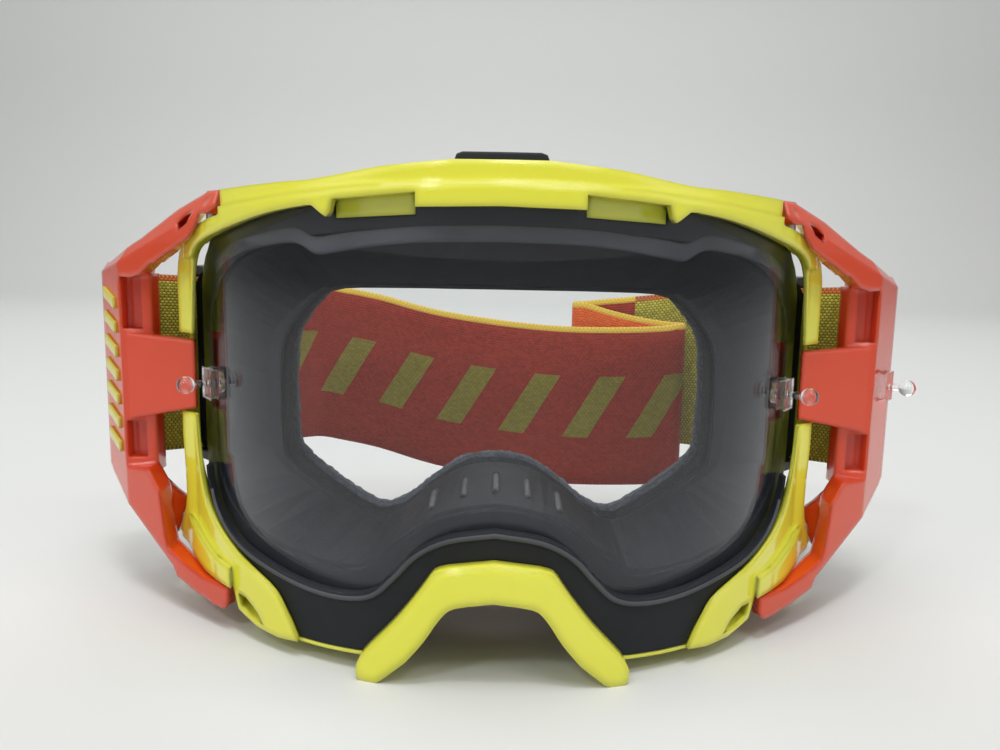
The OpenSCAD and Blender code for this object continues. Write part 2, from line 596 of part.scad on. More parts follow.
// Plain slanted bars, all alike
bar_pitch = 6.4;
module outrigger_bars_left() color(yellow) placed() mirror([1, 0, 0]) on_face() for (i = [0:6])
  translate([3.2, 38 + i * bar_pitch, 0]) linear_extrude(0.7) polygon([[0, 0], [9, 2.6], [9, 5.4], [0, 2.8]]);
module tab_post() color(clear) placed() translate([0, 0, post_z]) on_face() translate([7.6, 0, -0.15])
  post_shape(-0.15, 6.6);
module pins() {
  translate([hinge_x, hinge_y, 97.5]) cylinder(r = pin_r, h = 6.5);
  translate([hinge_x, hinge_y, 7.6]) cylinder(r = pin_r, h = 8.9);
}
module hinge_pins_right() color(steel) placed() pins();
module hinge_pins_left() color(steel) placed() mirror([1, 0, 0]) pins();

// Strap: a ribbon on edge along a route of [x, y, height of its middle]
module ribbon(route) skin([for (i = [0:len(route) - 1])
  let (a = route[max(i - 1, 0)], b = route[min(i + 1, len(route) - 1)], p = route[i],
    t = unit([b[0] - a[0], b[1] - a[1]]), n = [t[1], -t[0]] * strap_t / 2, h = strap_w / 2)
  [[p[0] - n[0], p[1] - n[1], p[2] - h], [p[0] + n[0], p[1] + n[1], p[2] - h],
   [p[0] + n[0], p[1] + n[1], p[2] + h], [p[0] - n[0], p[1] - n[1], p[2] + h]]]);
function run_point(s, side) = let (q = bar_c + s * run_dir + side * layer_off * run_n)
  [q[0], q[1], strap_z - s * run_slope];
function side_route() = concat(
  [for (s = [tail_l:-tail_l / 4:0.1]) run_point(s, 1)],
  [for (a = [0:20:180]) let (q = bar_c + layer_off * [cos(run_a - 90 - a), sin(run_a - 90 - a)])
    [q[0], q[1], strap_z]],
  [for (s = [run_l / 6:run_l / 6:run_l + 0.1]) run_point(s, -1)]);
module strap_right() color(cloth) placed() ribbon(side_route());
module strap_left() color(cloth) placed() mirror([1, 0, 0]) ribbon(side_route());
run_end = run_point(run_l + rear_gap, -1);
fold_r = layer_pitch / 2;
function fold(c, z, s) = [for (a = [-90:30:90]) [c[0] + s * fold_r * cos(a), c[1] + fold_r * sin(a), z]];
rear_route = concat(
  smooth([[-run_end[0], run_end[1], run_end[2]], [-run_end[0] + 4, run_end[1] + 3.2, 56],
    [-50, rear_y + 12.6, 55],
    [-38, rear_y + 11, 53], [-20, rear_y + 6.5, 49], [0, rear_y + 3, 46.4], [20, rear_y + 1, 45],
    [40, rear_y + 0.2, 45.2], [52, rear_y, 46]], 3),
  fold([54, rear_y + fold_r], 46.5, 1),
  [[46, rear_y + layer_pitch, 47.5], [36, rear_y + layer_pitch + 0.4, 49.5]],
  [for (p = fold([27, rear_y + 1 + 1.5 * layer_pitch], 52, -1)) p],
  smooth([[36, rear_y + 2 * layer_pitch + 1, 53], [46, rear_y + 2 * layer_pitch + 1, 54],
    [53, rear_y + 2 * layer_pitch + 0.2, 55], [run_end[0] - 3, run_end[1] + 2.6, 56], run_end], 3));
module strap_rear() color(cloth) placed() ribbon(rear_route);

// Slider round both strap layers
slot_h = strap_w + 2 * (strap_gap + slider_l / 2 * run_slope);
slot_out = layer_off + strap_t / 2 + strap_gap;
slider_d = 2 * (slot_out + slider_wall);
slot_w = slot_out - slider_wall / 2;
slot_mid = slot_out - slot_w / 2;
module slider() translate([bar_c[0] + slider_s * run_dir[0], bar_c[1] + slider_s * run_dir[1],
  strap_z - slider_s * run_slope]) rotate([0, 0, run_a]) difference() {
  cube([slider_l, slider_d, slot_h + 2 * slider_wall + 2], center = true);
  // Two slots, with the bar between them
  for (s = [-1, 1]) translate([0, s * slot_mid, 0])
    cube([slider_l + 2, slot_w, slot_h], center = true);
  // Softened ends
  for (s = [-1, 1], t = [-1, 1]) translate([0, s * slider_d / 2, t * (slot_h / 2 + slider_wall + 1)])
    rotate([45, 0, 0]) cube([slider_l + 2, 1.6, 1.6], center = true);
}
module slider_right() color(black) placed() slider();
module slider_left() color(black) placed() mirror([1, 0, 0]) slider();

outer_frame();
brow_badge();
face_frame();
lens();
lens_post_left();
lens_post_right();
foam_base();
foam_mid();
face_fleece();
top_vent_foam();
bottom_vent_foams();
nose_guard();
outrigger_left();
outrigger_right();
outrigger_bars_left();
tab_post();
hinge_pins_left();
hinge_pins_right();
strap_left();
strap_right();
strap_rear();
slider_left();
slider_right();
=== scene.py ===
"""Motocross goggles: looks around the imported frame, in metres. -Y is the front, Z is up."""

import math

import bpy
import bmesh
from mathutils import Matrix, Vector, noise

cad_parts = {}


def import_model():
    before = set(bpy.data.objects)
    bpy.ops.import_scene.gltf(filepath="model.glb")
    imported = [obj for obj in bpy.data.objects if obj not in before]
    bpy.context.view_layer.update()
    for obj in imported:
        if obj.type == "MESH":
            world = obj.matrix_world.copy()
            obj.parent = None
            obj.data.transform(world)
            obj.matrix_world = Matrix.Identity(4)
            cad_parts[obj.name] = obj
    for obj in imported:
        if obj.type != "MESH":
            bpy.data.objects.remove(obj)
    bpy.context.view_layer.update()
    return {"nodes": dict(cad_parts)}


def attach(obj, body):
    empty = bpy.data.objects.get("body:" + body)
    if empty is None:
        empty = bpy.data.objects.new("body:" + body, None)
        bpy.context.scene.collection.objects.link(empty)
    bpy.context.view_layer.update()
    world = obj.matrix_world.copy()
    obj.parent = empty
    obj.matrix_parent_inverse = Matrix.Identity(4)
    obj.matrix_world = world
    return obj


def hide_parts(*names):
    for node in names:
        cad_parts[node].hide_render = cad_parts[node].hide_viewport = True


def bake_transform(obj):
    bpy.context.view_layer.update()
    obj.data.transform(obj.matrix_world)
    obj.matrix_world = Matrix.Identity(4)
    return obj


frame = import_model()
nodes = frame["nodes"]
MM = 0.001
ROOT, RIGHT, LEFT = "frame_body", "right_outrigger", "left_outrigger"

# Repeated from part.scad: sizes in millimetres, and the straight run's angle. Depths count from
# the lens front.
MID_Y = 47.7
LENS_R = 88.0
RIB_PITCH, RIB_START_Y, RIB_Z = 7.2, 9, 40
BAR = (101.0, 61.0)
LAYER_OFF = 3.3
RUN_ANGLE = math.radians(134)
RUN_L, RUN_DROP, TAIL_L = 54.0, 3.7, 40.0
STRAP_W, STRAP_T, STRAP_Z = 50.0, 1.8, 60.2
REAR_Y, REAR_GAP, PITCH = 88.0, 0.3, 6.0


def world(x, y, z):
    """A point in millimetres, with its depth counted from the lens front, in the row's frame."""
    return Vector((x * MM, (y - MID_Y) * MM, z * MM))


def srgb(r, g, b):
    """0-255 sRGB to a linear RGBA colour."""
    def lin(v):
        v /= 255
        return v / 12.92 if v <= 0.04045 else ((v + 0.055) / 1.055) ** 2.4
    return (lin(r), lin(g), lin(b), 1.0)


# Node trees
class Tree:
    """A node tree with short ways to add nodes and sums."""

    def __init__(self, tree):
        self.t = tree

    def node(self, kind, **values):
        """A new node. A key that names a socket, with _ for a space, sets it, and others are settings."""
        n = self.t.nodes.new(kind)
        for key, value in values.items():
            socket = key.replace("_", " ")
            if socket in n.inputs:
                n.inputs[socket].default_value = value
            else:
                setattr(n, key, value)
        return n

    def link(self, a, b):
        self.t.links.new(a, b)

    def math(self, op, *terms):
        n = self.node("ShaderNodeMath", operation=op)
        for i, v in enumerate(terms):
            if isinstance(v, (int, float)):
                n.inputs[i].default_value = v
            else:
                self.link(v, n.inputs[i])
        return n.outputs[0]

    def spread(self, fac, **ends):
        """Maps 0 to 1, or From_Min to From_Max, to the range from To_Min to To_Max."""
        n = self.node("ShaderNodeMapRange", **ends)
        self.link(fac, n.inputs["Value"])
        return n.outputs[0]


class Mat(Tree):
    """A Principled material with short ways to add noise, mixes and bumps."""

    def __init__(self, name, color, rough, **sockets):
        self.m = bpy.data.materials.new(name)
        self.m.use_nodes = True
        super().__init__(self.m.node_tree)
        self.p = self.t.nodes["Principled BSDF"]
        self.p.inputs["Base Color"].default_value = color
        self.p.inputs["Roughness"].default_value = rough
        for key, value in sockets.items():
            self.p.inputs[key.replace("_", " ")].default_value = value

    def coords(self, output="Object"):
        return self.node("ShaderNodeTexCoord").outputs[output]

    def split(self, vector):
        """The vector's three parts."""
        n = self.node("ShaderNodeSeparateXYZ")
        self.link(vector, n.inputs[0])
        return n.outputs

    def noise(self, scale, detail=3.0, rough=0.5, vector=None):
        n = self.node("ShaderNodeTexNoise", Scale=scale, Detail=detail, Roughness=rough)
        self.link(vector or self.coords(), n.inputs["Vector"])
        return n.outputs["Fac"]

    def ramp(self, fac, *stops):
        n = self.node("ShaderNodeValToRGB")
        for element, (pos, color) in zip(n.color_ramp.elements, stops):
            element.position, element.color = pos, color
        self.link(fac, n.inputs["Fac"])
        return n.outputs["Color"]

    def mix(self, fac, a, b):
        """Colour a, or colour b where fac is 1."""
        n = self.node("ShaderNodeMix", data_type="RGBA")
        factor_in, a_in, b_in = 0, 6, 7
        for v, k in ((fac, factor_in), (a, a_in), (b, b_in)):
            if isinstance(v, (int, float, tuple)):
                n.inputs[k].default_value = v
            else:
                self.link(v, n.inputs[k])
        return n.outputs[2]

    def bump(self, height, strength, distance):
        n = self.node("ShaderNodeBump", Strength=strength, Distance=distance)
        self.link(height, n.inputs["Height"])
        if self.p.inputs["Normal"].is_linked:
            self.link(self.p.inputs["Normal"].links[0].from_socket, n.inputs["Normal"])
        self.normal(n.outputs[0])

    def soft_edges(self, radius):
        """Rounds the edges in the shading, as a mould does."""
        n = self.node("ShaderNodeBevel", Radius=radius, samples=6)
        self.normal(n.outputs[0])

    def normal(self, socket):
        for key in ("Normal", "Coat Normal"):
            self.link(socket, self.p.inputs[key])

    def color(self, socket):
        self.link(socket, self.p.inputs["Base Color"])

    def rough(self, fac, low, high):
        self.link(self.spread(fac, To_Min=low, To_Max=high), self.p.inputs["Roughness"])


# Materials
def ledge_shade(m, plain):
    """Darkens the brow's two ledges, which sit in the shade behind the lens."""
    # They lie within this radius of the lens axis and half width, above low, and darken downwards
    radius, half_width = 85.9 * MM, 36.5 * MM
    low, dark_z, plain_z = 99.5 * MM, 100 * MM, 106.5 * MM
    x, y, z = m.split(m.coords())
    back = m.math("SUBTRACT", y, (LENS_R - MID_Y) * MM)
    r = m.math("SQRT", m.math("ADD", m.math("MULTIPLY", x, x), m.math("MULTIPLY", back, back)))
    near = m.math("MULTIPLY", m.math("LESS_THAN", r, radius),
                  m.math("LESS_THAN", m.math("ABSOLUTE", x), half_width))
    inside = m.math("MULTIPLY", near, m.math("GREATER_THAN", z, low))
    fade = m.spread(z, From_Min=plain_z, From_Max=dark_z, To_Min=0.0, To_Max=0.85)
    return m.mix(m.math("MULTIPLY", inside, fade), plain, srgb(78, 78, 30))


def gloss_plastic(name, base, light, rough, edge=0.0014, shade=None):
    """Moulded plastic: a slightly uneven polish and faint flow marks."""
    m = Mat(name, base, rough, Coat_Weight=0.65, Coat_Roughness=0.03, Specular_IOR_Level=0.35)
    m.soft_edges(edge)
    color = m.ramp(m.noise(11, 2), (0.3, base), (0.75, light))
    m.color(shade(m, color) if shade else color)
    m.rough(m.noise(160, 4), rough - 0.05, rough + 0.06)
    m.bump(m.noise(240, 2), 0.02, 0.0003)
    return m.m


def soft_plastic(name, base, light, rough, grain=2200):
    """Soft-touch moulding with a fine spark-eroded grain."""
    m = Mat(name, base, rough, Specular_IOR_Level=0.25)
    m.soft_edges(0.0009)
    m.color(m.ramp(m.noise(40), (0.3, base), (0.8, light)))
    m.rough(m.noise(300), rough - 0.08, rough + 0.12)
    m.bump(m.noise(grain, 2), 0.1, 0.00004)
    return m.m


def foam(name, base, light, cell=900):
    """Open foam: small pits, with painted shade that darkens each towards its bottom, some more than others.
    """
    m = Mat(name, base, 0.95, Specular_IOR_Level=0.15)
    cells = m.node("ShaderNodeTexVoronoi", Scale=cell)
    m.link(m.coords(), cells.inputs["Vector"])
    pit = cells.outputs["Distance"]
    # Painted shade: the colour darkens towards each pit's bottom
    m.color(m.mix(m.math("MULTIPLY", pit, 1.3), base, light))
    m.bump(pit, 0.5, 0.0006)
    m.bump(m.noise(130), 0.3, 0.0008)
    return m.m


def clear(name, tint, rough, ior=1.5):
    """Clear moulding, which lets the lamps through."""
    m = Mat(name, tint, rough, Transmission_Weight=1.0, IOR=ior)
    m.bump(m.noise(90, 2), 0.02, 0.0003)
    see = m.node("ShaderNodeBsdfTransparent", Color=(0.93, 0.94, 0.95, 1))
    shadow = m.node("ShaderNodeLightPath").outputs["Is Shadow Ray"]
    mix = m.node("ShaderNodeMixShader")
    for i, socket in enumerate((shadow, m.p.outputs[0], see.outputs[0])):
        m.link(socket, mix.inputs[i])
    m.link(mix.outputs[0], m.t.nodes["Material Output"].inputs["Surface"])
    return m.m


def metal(name):
    """Drawn steel, slightly dull."""
    m = Mat(name, srgb(170, 171, 174), 0.35, Metallic=1.0)
    m.rough(m.noise(600), 0.28, 0.45)
    m.bump(m.noise(900, 2), 0.1, 0.0002)
    return m.m


def knit():
    """Elastic knit. UV x runs along the strap in widths from the middle of the back. UV y runs
    across the outer face from 0 to 1, and across the wearer's face from 2 to 3."""
    rows, stitches = 62.0, 42.0     # Across the strap, and in one width along it
    bars, slant = 2.5, -1.4         # Bars in one width, and their lean
    # The olive ends start this far from the middle of the coloured part, which is off centre
    end_u, end_shift = 1.95, 0.4
    m = Mat("strap_knit", srgb(190, 80, 40), 0.85, Sheen_Weight=0.15, Sheen_Roughness=0.4)
    uv = m.coords("UV")
    u, uv_y, _ = m.split(uv)
    inner = m.math("GREATER_THAN", uv_y, 1.5)
    v = m.math("SUBTRACT", uv_y, m.math("MULTIPLY", inner, 2.0))

    # Rows of short stitches, staggered from row to row
    row = m.math("MULTIPLY", v, rows)
    index = m.math("FLOOR", row)
    place = m.math("ADD", m.math("MULTIPLY", u, stitches), m.math("MULTIPLY", index, 0.5))
    across = m.math("ABSOLUTE", m.math("SUBTRACT", m.math("FRACT", row), 0.5))
    along = m.math("ABSOLUTE", m.math("SUBTRACT", m.math("FRACT", place), 0.5))
    stitch = m.math("SUBTRACT", 1.0, m.math("ADD", m.math("MULTIPLY", across, 0.9),
                                            m.math("MULTIPLY", along, 1.1)))
    gap = m.ramp(m.math("ADD", m.math("MULTIPLY", across, 0.55), along),
                 (0.36, (0, 0, 0, 1)), (0.56, (1, 1, 1, 1)))
    stitch_at = m.node("ShaderNodeCombineXYZ")
    m.link(m.math("FLOOR", place), stitch_at.inputs[0])
    m.link(index, stitch_at.inputs[1])
    cell = m.node("ShaderNodeTexWhiteNoise", noise_dimensions="2D")
    m.link(stitch_at.outputs[0], cell.inputs["Vector"])

    def fleck(dark, pale):
        """A colour that changes from stitch to stitch."""
        return m.ramp(cell.outputs["Value"], (0.0, srgb(*dark)), (1.0, srgb(*pale)))

    # Bright orange outside and dull red on the wearer's face, with plain slanted bars
    bar_u = m.math("FRACT", m.math("ADD", m.math("MULTIPLY", u, bars), m.math("MULTIPLY", v, slant)))
    in_bar = m.math("MULTIPLY", m.math("GREATER_THAN", bar_u, 0.6),
                    m.math("MULTIPLY", m.math("GREATER_THAN", v, 0.3), m.math("LESS_THAN", v, 0.7)))
    outside = m.mix(in_bar, fleck((226, 96, 34), (240, 118, 44)), fleck((214, 202, 66), (226, 216, 84)))
    inside = m.mix(in_bar, fleck((150, 42, 22), (172, 52, 28)), fleck((134, 124, 40), (150, 140, 48)))
    is_end = m.math("GREATER_THAN", m.math("ABSOLUTE", m.math("SUBTRACT", u, end_shift)), end_u)
    body = m.mix(is_end, m.mix(inner, outside, inside), fleck((178, 170, 52), (212, 206, 78)))
    # A thin yellow selvedge at the top, orange at the ends
    selvedge = m.mix(is_end, srgb(224, 190, 70), srgb(214, 110, 46))
    body = m.mix(m.math("GREATER_THAN", v, 0.982), body, selvedge)
    # Dark gaps between the stitches, deeper at the ends
    depth = m.math("MULTIPLY", gap, m.mix(is_end, (0.25, 0.25, 0.25, 1), (0.8, 0.8, 0.8, 1)))
    m.color(m.mix(depth, body, m.mix(is_end, srgb(84, 24, 16), srgb(62, 54, 16))))
    m.bump(stitch, 0.6, 0.0004)
    m.bump(m.noise(9, 2, 0.5, uv), 0.2, 0.0006)
    return m.m


YELLOW_LIGHT = srgb(232, 230, 76)
yellow = gloss_plastic("yellow_plastic", srgb(228, 225, 62), YELLOW_LIGHT, 0.18, edge=0.0024,
                       shade=ledge_shade)
orange = gloss_plastic("orange_plastic", srgb(210, 58, 17), srgb(217, 70, 25), 0.16, edge=0.0018)
guard_yellow = gloss_plastic("guard_plastic", srgb(226, 226, 54), YELLOW_LIGHT, 0.2, edge=0.0034)
bar_yellow = gloss_plastic("bar_yellow", srgb(216, 208, 84), srgb(226, 220, 110), 0.3)
soft_black = soft_plastic("soft_frame", srgb(26, 28, 33), srgb(34, 36, 41), 0.6)
badge_black = soft_plastic("badge_plastic", srgb(34, 36, 38), srgb(46, 48, 50), 0.4, grain=900)
slider_black = soft_plastic("slider_plastic", srgb(28, 30, 32), srgb(38, 40, 42), 0.38, grain=1100)
# Painted highlight: a lighter grey copy of the black rubber, for the lit edge of the face frame's ring
ring_highlight_grey = soft_plastic("ring_edge_highlight", srgb(70, 71, 76), srgb(88, 89, 94), 0.8, grain=1100)
# Painted highlight: a lighter grey copy of the black rubber, for the lit tops of the lip bead and the nose
# ribs
top_highlight_grey = soft_plastic("lip_bead_highlight", srgb(66, 68, 72), srgb(80, 82, 86), 0.45)
lens_clear = clear("lens_clear", (0.93, 0.95, 0.96, 1), 0.02, ior=1.28)
post_clear = clear("post_clear", (0.96, 0.97, 0.98, 1), 0.04)
foam_black = foam("foam_black", srgb(30, 31, 34), srgb(52, 54, 58))
foam_grey = foam("foam_grey", srgb(56, 59, 64), srgb(84, 87, 93))
vent_foam = foam("vent_foam", srgb(38, 40, 43), srgb(74, 76, 80), cell=420)
fleece = foam("fleece", srgb(78, 81, 87), srgb(112, 115, 121), cell=1500)
pin_steel = metal("pin_steel")
strap_mat = knit()


# Camera: fitted to the photograph; its right side hangs a little low
CAM_AT = world(0, -187, 98)
CAM_TILT, CAM_ROLL = math.radians(81), math.radians(1.1)
camera = bpy.data.objects.new("camera", bpy.data.cameras.new("camera"))
bpy.context.collection.objects.link(camera)
camera.data.lens = 32.4
camera.data.sensor_width = 36.0
camera.data.shift_x = 0.002
camera.data.clip_start = 0.01
camera.matrix_world = (Matrix.Translation(CAM_AT) @ Matrix.Rotation(CAM_TILT, 4, "X")
                       @ Matrix.Rotation(CAM_ROLL, 4, "Z"))
bpy.context.scene.camera = camera
bpy.context.scene.view_settings.view_transform = "Standard"


# Light and floor
def area_light(name, at, aim, size, power, spread=180):
    data = bpy.data.lights.new(name, "AREA")
    data.shape = "RECTANGLE"
    data.size, data.size_y = size
    data.energy = power
    data.spread = math.radians(spread)
    o = bpy.data.objects.new(name, data)
    bpy.context.collection.objects.link(o)
    o.location = at
    o.rotation_euler = (Vector(aim) - Vector(at)).to_track_quat("-Z", "Y").to_euler()


# The large lamps are soft, and the small ones make the highlights on moulded edges. The last one
# lights the backdrop.
AIM = (0, 0, 0.06)
area_light("ceiling", (-0.05, -0.15, 1.3), AIM, (1.1, 0.8), 9.5)
area_light("skylight", (0.05, -0.35, 1.2), AIM, (0.2, 0.08), 2.6)
area_light("window_left", (-1.0, -0.7, 0.7), AIM, (0.7, 0.9), 3.4)
area_light("fill_right", (1.0, -0.6, 0.6), AIM, (0.6, 0.9), 1.9)
area_light("back", (0.0, 1.0, 0.9), AIM, (1.2, 0.6), 4)
area_light("lamp", (-0.5, -0.9, 1.1), AIM, (0.12, 0.12), 2.6)
area_light("strip", (0.4, -0.75, 1.1), AIM, (0.5, 0.045), 2.2)
area_light("wall", (0.0, 0.2, 1.6), (0, 1.35, 0.7), (2.0, 0.4), 3, spread=100)


def pale_world(light, seen, gloss_share):
    """A pale world: its light, its level to the camera and through clear parts, and how far gloss
    goes from the one to the other."""
    data = bpy.data.worlds.new("world")
    bpy.context.scene.world = data
    data.use_nodes = True
    w = Tree(data.node_tree)
    background = w.t.nodes["Background"]
    background.inputs["Color"].default_value = (0.97, 0.98, 1.0, 1)
    ray = w.node("ShaderNodeLightPath").outputs
    direct = w.math("MAXIMUM", ray["Is Camera Ray"], ray["Is Transmission Ray"])
    share = w.math("MAXIMUM", direct, w.math("MULTIPLY", ray["Is Glossy Ray"], gloss_share))
    w.link(w.spread(share, To_Min=light, To_Max=seen), background.inputs["Strength"])


pale_world(light=0.3, seen=0.84, gloss_share=0.25)


def floor():
    """A floor that bends up into a backdrop."""
    m = Mat("floor", srgb(205, 206, 204), 0.8)
    m.bump(m.noise(60), 0.05, 0.001)
    front, wall_y, bend, top, half_width = -3.0, 1.0, 0.35, 2.5, 6.0
    arc = [(wall_y + bend * math.sin(a), bend - bend * math.cos(a))
           for a in [math.radians(d) for d in range(10, 91, 10)]]
    line = [(front, 0), (wall_y, 0)] + arc + [(wall_y + bend, top)]
    mesh = bpy.data.meshes.new("floor")
    mesh.from_pydata([(x, y, z) for y, z in line for x in (-half_width, half_width)], [],
                     [(2 * i, 2 * i + 1, 2 * i + 3, 2 * i + 2) for i in range(len(line) - 1)])
    mesh.materials.append(m.m)
    for poly in mesh.polygons:
        poly.use_smooth = True
    o = bpy.data.objects.new("floor", mesh)
    bpy.context.collection.objects.link(o)


floor()

# The nodes whose own solids stay
for names, material in (
        (("outer_frame",), yellow), (("brow_badge",), badge_black), (("face_frame",), soft_black),
        (("lens",), lens_clear), (("lens_post_left", "lens_post_right", "tab_post"), post_clear),
        (("nose_guard",), guard_yellow), (("outrigger_left", "outrigger_right"), orange),
        (("outrigger_bars_left",), bar_yellow), (("hinge_pins_left", "hinge_pins_right"), pin_steel),
        (("slider_left", "slider_right"), slider_black)):
    for name in names:
        nodes[name].data.materials.clear()
        nodes[name].data.materials.append(material)


# Foam
def foam_piece(name, node, material, voxel, inset, rounds, nap=0.0):
    """Foam from its own solid: remeshed, softened at its edges, and a little uneven or napped."""
    o = nodes[node].copy()
    o.data = nodes[node].data.copy()
    o.name = o.data.name = name
    o.parent = None
    o.matrix_world = nodes[node].matrix_world
    bpy.context.collection.objects.link(o)
    for kind, values in (("REMESH", {"mode": "VOXEL", "voxel_size": voxel}),
                         ("SMOOTH", {"iterations": rounds, "factor": 0.6})):
        mod = o.modifiers.new(kind, kind)
        for key, value in values.items():
            setattr(mod, key, value)
    deps = bpy.context.evaluated_depsgraph_get()
    mesh = bpy.data.meshes.new_from_object(o.evaluated_get(deps))
    o.modifiers.clear()
    o.data = mesh
    mesh.materials.clear()
    mesh.materials.append(material)
    spots = [(v.co.copy(), v.normal.copy()) for v in mesh.vertices]
    for vert, (co, normal) in zip(mesh.vertices, spots):
        lift = noise.noise(co * 90) * 0.00025 + noise.noise(co * 700) * nap - inset
        vert.co = co + normal * lift
    for poly in mesh.polygons:
        poly.use_smooth = True
    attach(o, ROOT)
    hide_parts(node)


foam_piece("foam_base_pad", "foam_base", foam_black, voxel=0.0015, inset=0.0001, rounds=5)
foam_piece("foam_mid_pad", "foam_mid", foam_grey, voxel=0.001, inset=-0.0001, rounds=3)
foam_piece("face_fleece_pad", "face_fleece", fleece, voxel=0.0009, inset=-0.0001, rounds=3, nap=0.0004)
foam_piece("top_vent_pad", "top_vent_foam", vent_foam, voxel=0.0008, inset=0.0, rounds=2)
foam_piece("bottom_vent_pads", "bottom_vent_foams", vent_foam, voxel=0.0008, inset=0.0, rounds=2)


# Shapes along lines
def catmull(points, n):
    """A smooth line through the points, with n steps between each two."""
    out = []
    for i in range(len(points) - 1):
        a, b, c, d = (Vector(points[max(0, min(len(points) - 1, k))]) for k in (i - 1, i, i + 1, i + 2))
        for k in range(n):
            t = k / n
            out.append(0.5 * (2 * b + (c - a) * t + (2 * a - 5 * b + 4 * c - d) * t * t
                              + (3 * b - a - 3 * c + d) * t ** 3))
    return out + [Vector(points[-1])]


def both_halves(points):
    """A smooth line of (x, z, 0) over both sides, from the (x, z) points of its right half."""
    half = catmull([(x, z, 0) for x, z in points], 4)
    return [Vector((-q.x, q.y, 0)) for q in reversed(half[1:])] + half


def on_cylinder(x, r, z):
    """The front point at x and z on a cylinder of radius r round the lens axis."""
    return (x, LENS_R - math.sqrt(r * r - x * x), z)


def circle(n):
    """Cosine and sine of n even steps round a circle."""
    return [(math.cos(2 * math.pi * k / n), math.sin(2 * math.pi * k / n)) for k in range(n)]


def add(name, verts, faces, material):
    mesh = bpy.data.meshes.new(name)
    mesh.from_pydata(verts, [], faces)
    mesh.materials.append(material)
    o = bpy.data.objects.new(name, mesh)
    bpy.context.collection.objects.link(o)
    for poly in mesh.polygons:
        poly.use_smooth = True
    return o


def highlight_tubes(name, tubes, material):
    """One piece of closed tubes on the frame for painted highlights, each given as rings of points in
    millimetres.
    """
    verts, faces = [], []
    for rings in tubes:
        first, n, last = len(verts), len(rings[0]), len(rings) - 1
        verts += [tuple(world(*p)) for ring in rings for p in ring]
        faces += [(first + i * n + j, first + (i + 1) * n + j, first + (i + 1) * n + (j + 1) % n,
                   first + i * n + (j + 1) % n) for i in range(last) for j in range(n)]
        faces += [tuple(first + j for j in range(n)),
                  tuple(first + last * n + j for j in range(n - 1, -1, -1))]
    o = add(name, verts, faces, material)
    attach(o, ROOT)


def ring_edge_highlight():
    """Raised edge of the face frame's front ring, seen through the lens below the brow, in lighter grey as a
    painted highlight on the black rubber.
    """
    # The right half: x, and the height of its lower and its upper edge
    half = [(0, 96.0, 99.6), (16.1, 95.6, 99.2), (27.3, 94.5, 98.2), (35.8, 93.0, 97.0), (40.2, 92.5, 96.4),
            (45.6, 94.9, 98.4), (55.2, 93.4, 96.8), (63.6, 90.6, 94.6), (69.5, 86.6, 90.4)]
    low = both_halves([(x, z) for x, z, _ in half])
    high = both_halves([(x, z) for x, _, z in half])
    # Radius and share of the half height, round the section
    section = ((83.9, 1.0), (86.1, 1.0), (86.5, 0.85), (86.6, 0.5), (86.6, -0.5), (86.5, -0.85),
               (86.1, -1.0), (83.9, -1.0))
    rings = [[on_cylinder(a.x, r, (a.y + b.y) / 2 + k * (b.y - a.y) / 2) for r, k in section]
             for a, b in zip(low, high)]
    highlight_tubes("ring_edge_highlight", [rings], ring_highlight_grey)


def lip_bead_highlight():
    """Top of the bead along the lip below the lens, in lighter grey as a painted highlight."""
    path = both_halves([(0, 34.1), (10, 32.4), (17, 28.6), (22, 23.1), (27, 18.4), (34, 16.8), (43.6, 17.3),
                        (55, 19.8), (61.6, 22.0), (66.4, 25.1), (69.6, 28.7), (71.4, 33)])
    half_w, half_t, r = 0.65, 0.42, 90.85
    rings = []
    for i, q in enumerate(path):
        t = (path[min(i + 1, len(path) - 1)] - path[max(i - 1, 0)]).normalized()
        rings.append([on_cylinder(q.x - t.y * half_w * c, r + half_t * s, q.y + t.x * half_w * c)
                      for c, s in circle(8)])
    highlight_tubes("lip_bead_highlight", [rings], top_highlight_grey)


def rib_top_highlights():
    """Tops of the short ribs over the nose, in lighter grey as a painted highlight."""
    lean = math.radians(6)
    # Distance along a rib, and the radius there
    profile = ((0.3, 0.45), (1.2, 0.78), (6, 0.82), (10.6, 0.78), (11.6, 0.45))
    ribs = []
    for i in range(-2, 3):
        z = RIB_Z - 0.4 * abs(i) - 0.9 * i * i
        ribs.append([[(i * RIB_PITCH + r * c, RIB_START_Y + along * math.cos(lean),
                       z + along * math.sin(lean) + r * s) for c, s in circle(8)] for along, r in profile])
    highlight_tubes("rib_top_highlights", ribs, top_highlight_grey)


ring_edge_highlight()
lip_bead_highlight()
rib_top_highlights()


# Strap
RUN = Vector((math.cos(RUN_ANGLE), math.sin(RUN_ANGLE)))
ACROSS = Vector((math.sin(RUN_ANGLE), -math.cos(RUN_ANGLE)))
SLOPE = RUN_DROP / RUN_L


def run_point(s, side):
    """Along the straight run, s from the bar: the outer layer (side 1) or the inner one (-1)."""
    q = Vector(BAR) + s * RUN + side * LAYER_OFF * ACROSS
    return Vector((q.x, q.y, STRAP_Z - max(s, 0) * SLOPE))


def side_route():
    """From the tail's end round the bar and along the inner layer, on the right."""
    out = [run_point(TAIL_L - k * 2, 1) for k in range(int(TAIL_L / 2))]
    for d in range(0, 181, 12):
        a = RUN_ANGLE - math.radians(90 + d)
        out.append(Vector((BAR[0] + LAYER_OFF * math.cos(a), BAR[1] + LAYER_OFF * math.sin(a), STRAP_Z)))
    return out + [run_point(s, -1) for s in range(2, int(RUN_L) + 1, 2)]


def fold(x, y, z, side):
    """A half turn round (x, y) at height z, open to the left (side 1) or to the right (-1)."""
    r = PITCH / 2
    return [(x + side * r * math.cos(math.radians(a)), y + r * math.sin(math.radians(a)), z)
            for a in range(-90, 91, 30)]


